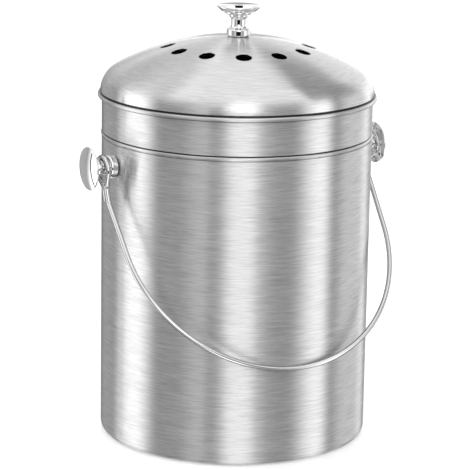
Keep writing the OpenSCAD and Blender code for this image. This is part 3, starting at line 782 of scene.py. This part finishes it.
def make_floor():
    """Pale round floor that also glows a little, so that it melts into the background."""
    mat, n, bsdf = material("pale_floor")
    tone = n.remap(n.noise(n.here(), 3.0, 2.0), 0.3, 0.7, FLOOR_DARK, FLOOR_LIGHT)
    n.join(n.add("ShaderNodeCombineColor", {0: tone, 1: tone, 2: tone}).outputs[0], bsdf.inputs["Base Color"])
    bsdf.inputs["Roughness"].default_value = FLOOR_ROUGH
    bsdf.inputs["Specular IOR Level"].default_value = FLOOR_SPECULAR
    bsdf.inputs["Emission Color"].default_value = (1.0, 1.0, 1.0, 1.0)
    bsdf.inputs["Emission Strength"].default_value = FLOOR_SELF
    bm = bmesh.new()
    bmesh.ops.create_circle(bm, cap_ends=True, radius=FLOOR_R, segments=96)
    mesh = bpy.data.meshes.new("floor")
    bm.to_mesh(mesh)
    bm.free()
    floor = bpy.data.objects.new("floor", mesh)
    bpy.context.scene.collection.objects.link(floor)
    mesh.materials.append(mat)
    floor.visible_glossy = False


def span(n, value, low, low_soft, high, high_soft):
    """1 between two soft edges, 0 outside."""
    up = n.remap(value, low - low_soft, low + low_soft, 0.0, 1.0, smooth=True)
    down = n.remap(value, high - high_soft, high + high_soft, 1.0, 0.0, smooth=True)
    return n.math("MULTIPLY", up, down)


def lit(n, base, panels, value, over, reach):
    """The panels side by side over a base light, within their reach over the object."""
    total = None
    for *edges, strength in panels:
        term = n.math("MULTIPLY", span(n, value, *edges), strength)
        total = term if total is None else n.math("ADD", total, term)
    return n.math("MULTIPLY", n.math("ADD", total, base), span(n, over, *reach))


def make_world():
    """Soft studio light as a plain environment: upright panels below, and wedge-shaped ones over the lid."""
    world = bpy.data.worlds.new("studio")
    bpy.context.scene.world = world
    world.use_nodes = True
    n = Nodes(world.node_tree)
    where = n.add("ShaderNodeTexCoord").outputs["Generated"]
    ahead = Vector((CAM_AHEAD[0], CAM_AHEAD[1], 0)).normalized()
    right = ahead.cross(Vector((0, 0, 1)))
    side = n.add("ShaderNodeVectorMath", {0: where, 1: tuple(right)}, operation="DOT_PRODUCT").outputs["Value"]
    front = n.add("ShaderNodeVectorMath", {0: where, 1: tuple(-ahead)}, operation="DOT_PRODUCT").outputs["Value"]
    height = n.add("ShaderNodeSeparateXYZ", {0: where}).outputs[2]
    turn = n.degrees(side, front)
    rise = n.math("MULTIPLY", n.math("ARCSINE", height), 180 / math.pi)

    # Light from this direction shows on the side of a brushed body that faces "facing", whatever its slope
    ahead_of = n.math("ADD", front, FACING_SHIFT)
    facing = n.degrees(side, ahead_of)
    reach = n.math("SQRT", n.math("ADD", n.math("MULTIPLY", side, side), n.math("MULTIPLY", ahead_of, ahead_of)))
    out = n.math("DIVIDE", n.math("MULTIPLY_ADD", front, ahead_of, n.math("MULTIPLY", side, side)),
                 n.math("MAXIMUM", reach, 0.001))
    over = n.math("WRAP", n.degrees(height, out), 270.0, -90.0)
    past = n.math("SUBTRACT", over, WEDGE_TURN)
    flare = n.math("ADD", n.math("MULTIPLY_ADD", n.math("MAXIMUM", past, 0.0), WEDGE_WIDER, 1.0),
                   n.math("MULTIPLY", n.math("MINIMUM", past, 0.0), WEDGE_NARROWER))
    wedge = n.math("MULTIPLY", facing, flare)

    def glow(limits, near, far, level):
        return n.math("MULTIPLY", n.remap(over, *limits, near, far, smooth=True), level)

    wall = lit(n, WALL_BASE, WALL_PANELS, facing, over, WALL_SPAN)
    lid = lit(n, LID_BASE, LID_PANELS, wedge, over, LID_SPAN)
    apex = glow(APEX_SPAN, 0.0, 1.0,
                n.math("MULTIPLY_ADD", span(n, wedge, *APEX_GAP), -APEX_DIP * APEX_GLOW, APEX_GLOW))
    total = n.math("ADD", n.math("ADD", n.math("ADD", wall, lid), apex),
                   n.math("ADD", glow(FLOOR_SPAN, 1.0, 0.0, FLOOR_GLOW), glow(BEHIND_SPAN, 0.0, 1.0, BEHIND_GLOW)))
    for (low, low_soft, high, high_soft), rows, level in FLAGS:
        away = n.math("WRAP", n.math("SUBTRACT", turn, (low + high) / 2), 180.0, -180.0)
        half = (high - low) / 2
        mask = n.math("MULTIPLY", span(n, away, -half, low_soft, half, high_soft), span(n, rise, *rows))
        kept = n.math("MULTIPLY", total, n.math("SUBTRACT", 1.0, mask))
        total = n.math("ADD", kept, n.math("MULTIPLY", mask, level))
    back = n.add("ShaderNodeBackground", {"Color": (1, 1, 1, 1), "Strength": n.math("MAXIMUM", total, DARKEST)})
    n.join(back.outputs[0], n.add("ShaderNodeOutputWorld").inputs[0])


def make_camera():
    """A camera at the place and with the lens fitted to the photograph."""
    data = bpy.data.cameras.new("camera")
    camera = bpy.data.objects.new("camera", data)
    bpy.context.scene.collection.objects.link(camera)
    pitch, roll = math.radians(CAM_PITCH), math.radians(CAM_ROLL)
    flat = Vector((CAM_AHEAD[0], CAM_AHEAD[1], 0)).normalized()
    ahead = flat * math.cos(pitch) - Vector((0, 0, 1)) * math.sin(pitch)
    level = flat.cross(Vector((0, 0, 1)))
    up = level.cross(ahead)
    right = level * math.cos(roll) + up * math.sin(roll)
    over = -level * math.sin(roll) + up * math.cos(roll)
    turn = Matrix((right, over, -ahead)).transposed().to_4x4()
    camera.matrix_world = Matrix.Translation(CAM_PLACE) @ turn
    data.sensor_fit, data.sensor_width, data.lens = "HORIZONTAL", CAM_SENSOR, CAM_LENS
    data.clip_start, data.clip_end = CAM_NEAR, CAM_FAR
    bpy.context.scene.camera = camera


make_world()
make_floor()
make_camera()
bpy.context.scene.view_settings.view_transform = "Standard"
bpy.context.scene.view_settings.look = "None"
